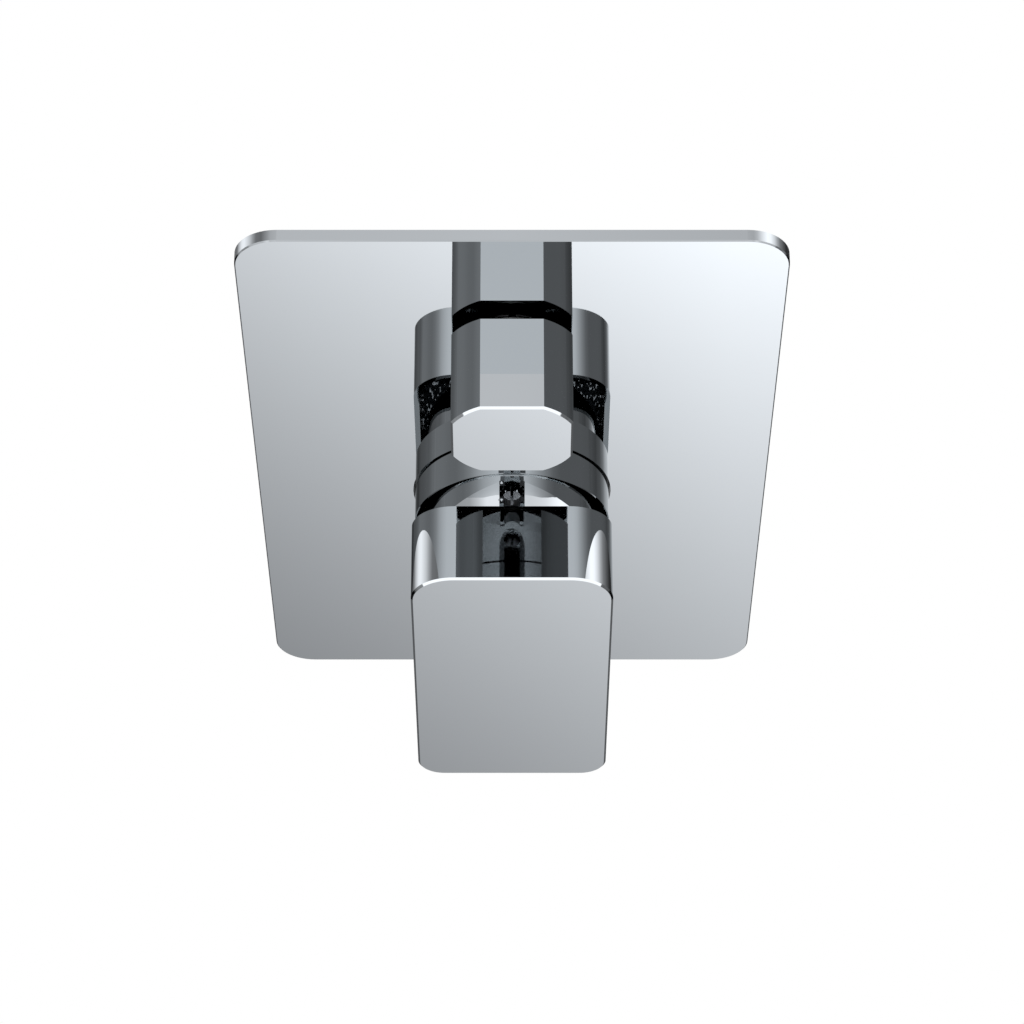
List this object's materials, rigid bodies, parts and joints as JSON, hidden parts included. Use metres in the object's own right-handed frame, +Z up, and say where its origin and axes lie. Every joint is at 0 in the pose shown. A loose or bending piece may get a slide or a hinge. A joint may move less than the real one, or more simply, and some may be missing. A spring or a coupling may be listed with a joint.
{
  "type": "wall-mounted faucet",
  "caption": "Concealed bath and shower mixer trim: rectangular wall plate, octagonal diverter knob and a flat open-backed lever, with the brass valve body and cartridge behind the wall.",
  "frame": {"origin": "in the wall plane, on the plate's back face, midway between the knob's axis and the lever's axis", "axes": "+X to the right as the user faces the wall, +Y into the wall, +Z up"},
  "size_m": [0.125, 0.1073, 0.1995],
  "materials": {
    "chrome": "polished chrome plate",
    "brass": "cast and turned brass",
    "steel": "turned stainless steel",
    "ceramic": "lapped alumina ceramic",
    "plastic": "moulded acetal",
    "red_plastic": "moulded acetal",
    "rubber": "moulded nitrile rubber",
    "foam": "closed-cell foam"
  },
  "bodies": {
    "trim": {"wall_plate": "chrome", "plate_gasket": "foam", "barrel_sleeve": "chrome", "sleeve_seal": "rubber", "hot_limit_ring": "red_plastic", "cartridge_housing": "plastic", "fixed_disc": "ceramic", "disc_gasket": "rubber", "cartridge_foot": "plastic", "foot_seals": "rubber", "cartridge_nut": "brass", "valve_body": "brass", "diverter_bonnet": "brass", "bonnet_seal": "rubber", "diverter_seat_disc": "ceramic", "diverter_lip_seal": "rubber", "plate_lock_nut": "brass", "inlet_check_valves": "plastic", "inlet_strainers": "steel"},
    "mixer_carrier": {"cartridge_rotor": "plastic", "spindle_pin": "steel"},
    "lever": {"lever_handle": "chrome", "handle_set_screw": "steel", "cartridge_spindle": "steel"},
    "slider": {"disc_carrier": "plastic", "moving_disc": "ceramic"},
    "diverter": {"diverter_knob": "chrome", "knob_insert": "plastic", "knob_set_screw": "steel", "diverter_stem": "brass", "stem_seals": "rubber", "stem_clip": "steel", "diverter_turning_disc": "ceramic"}
  },
  "joints": [
    {"name": "temperature_turn", "type": "hinge", "parent": "trim", "child": "mixer_carrier", "pos_m": [0, -0.013, -0.034], "axis": [0, -1, 0], "range_deg": [-45, 45]},
    {"name": "flow_tilt", "type": "hinge", "parent": "mixer_carrier", "child": "lever", "pos_m": [0, -0.013, -0.034], "axis": [-1, 0, 0], "range_deg": [0, 22]},
    {"name": "disc_slide", "type": "slide", "parent": "mixer_carrier", "child": "slider", "axis": [0, 0, -1], "range_m": [0, 0.0072]},
    {"name": "outlet_turn", "type": "hinge", "parent": "trim", "child": "diverter", "pos_m": [0, -0.0175, 0.034], "axis": [0, -1, 0], "range_deg": [0, 90]}
  ],
  "couplings": [
    {"joint": "disc_slide", "follows": "flow_tilt", "m_per_rad": 0.018529}
  ]
}
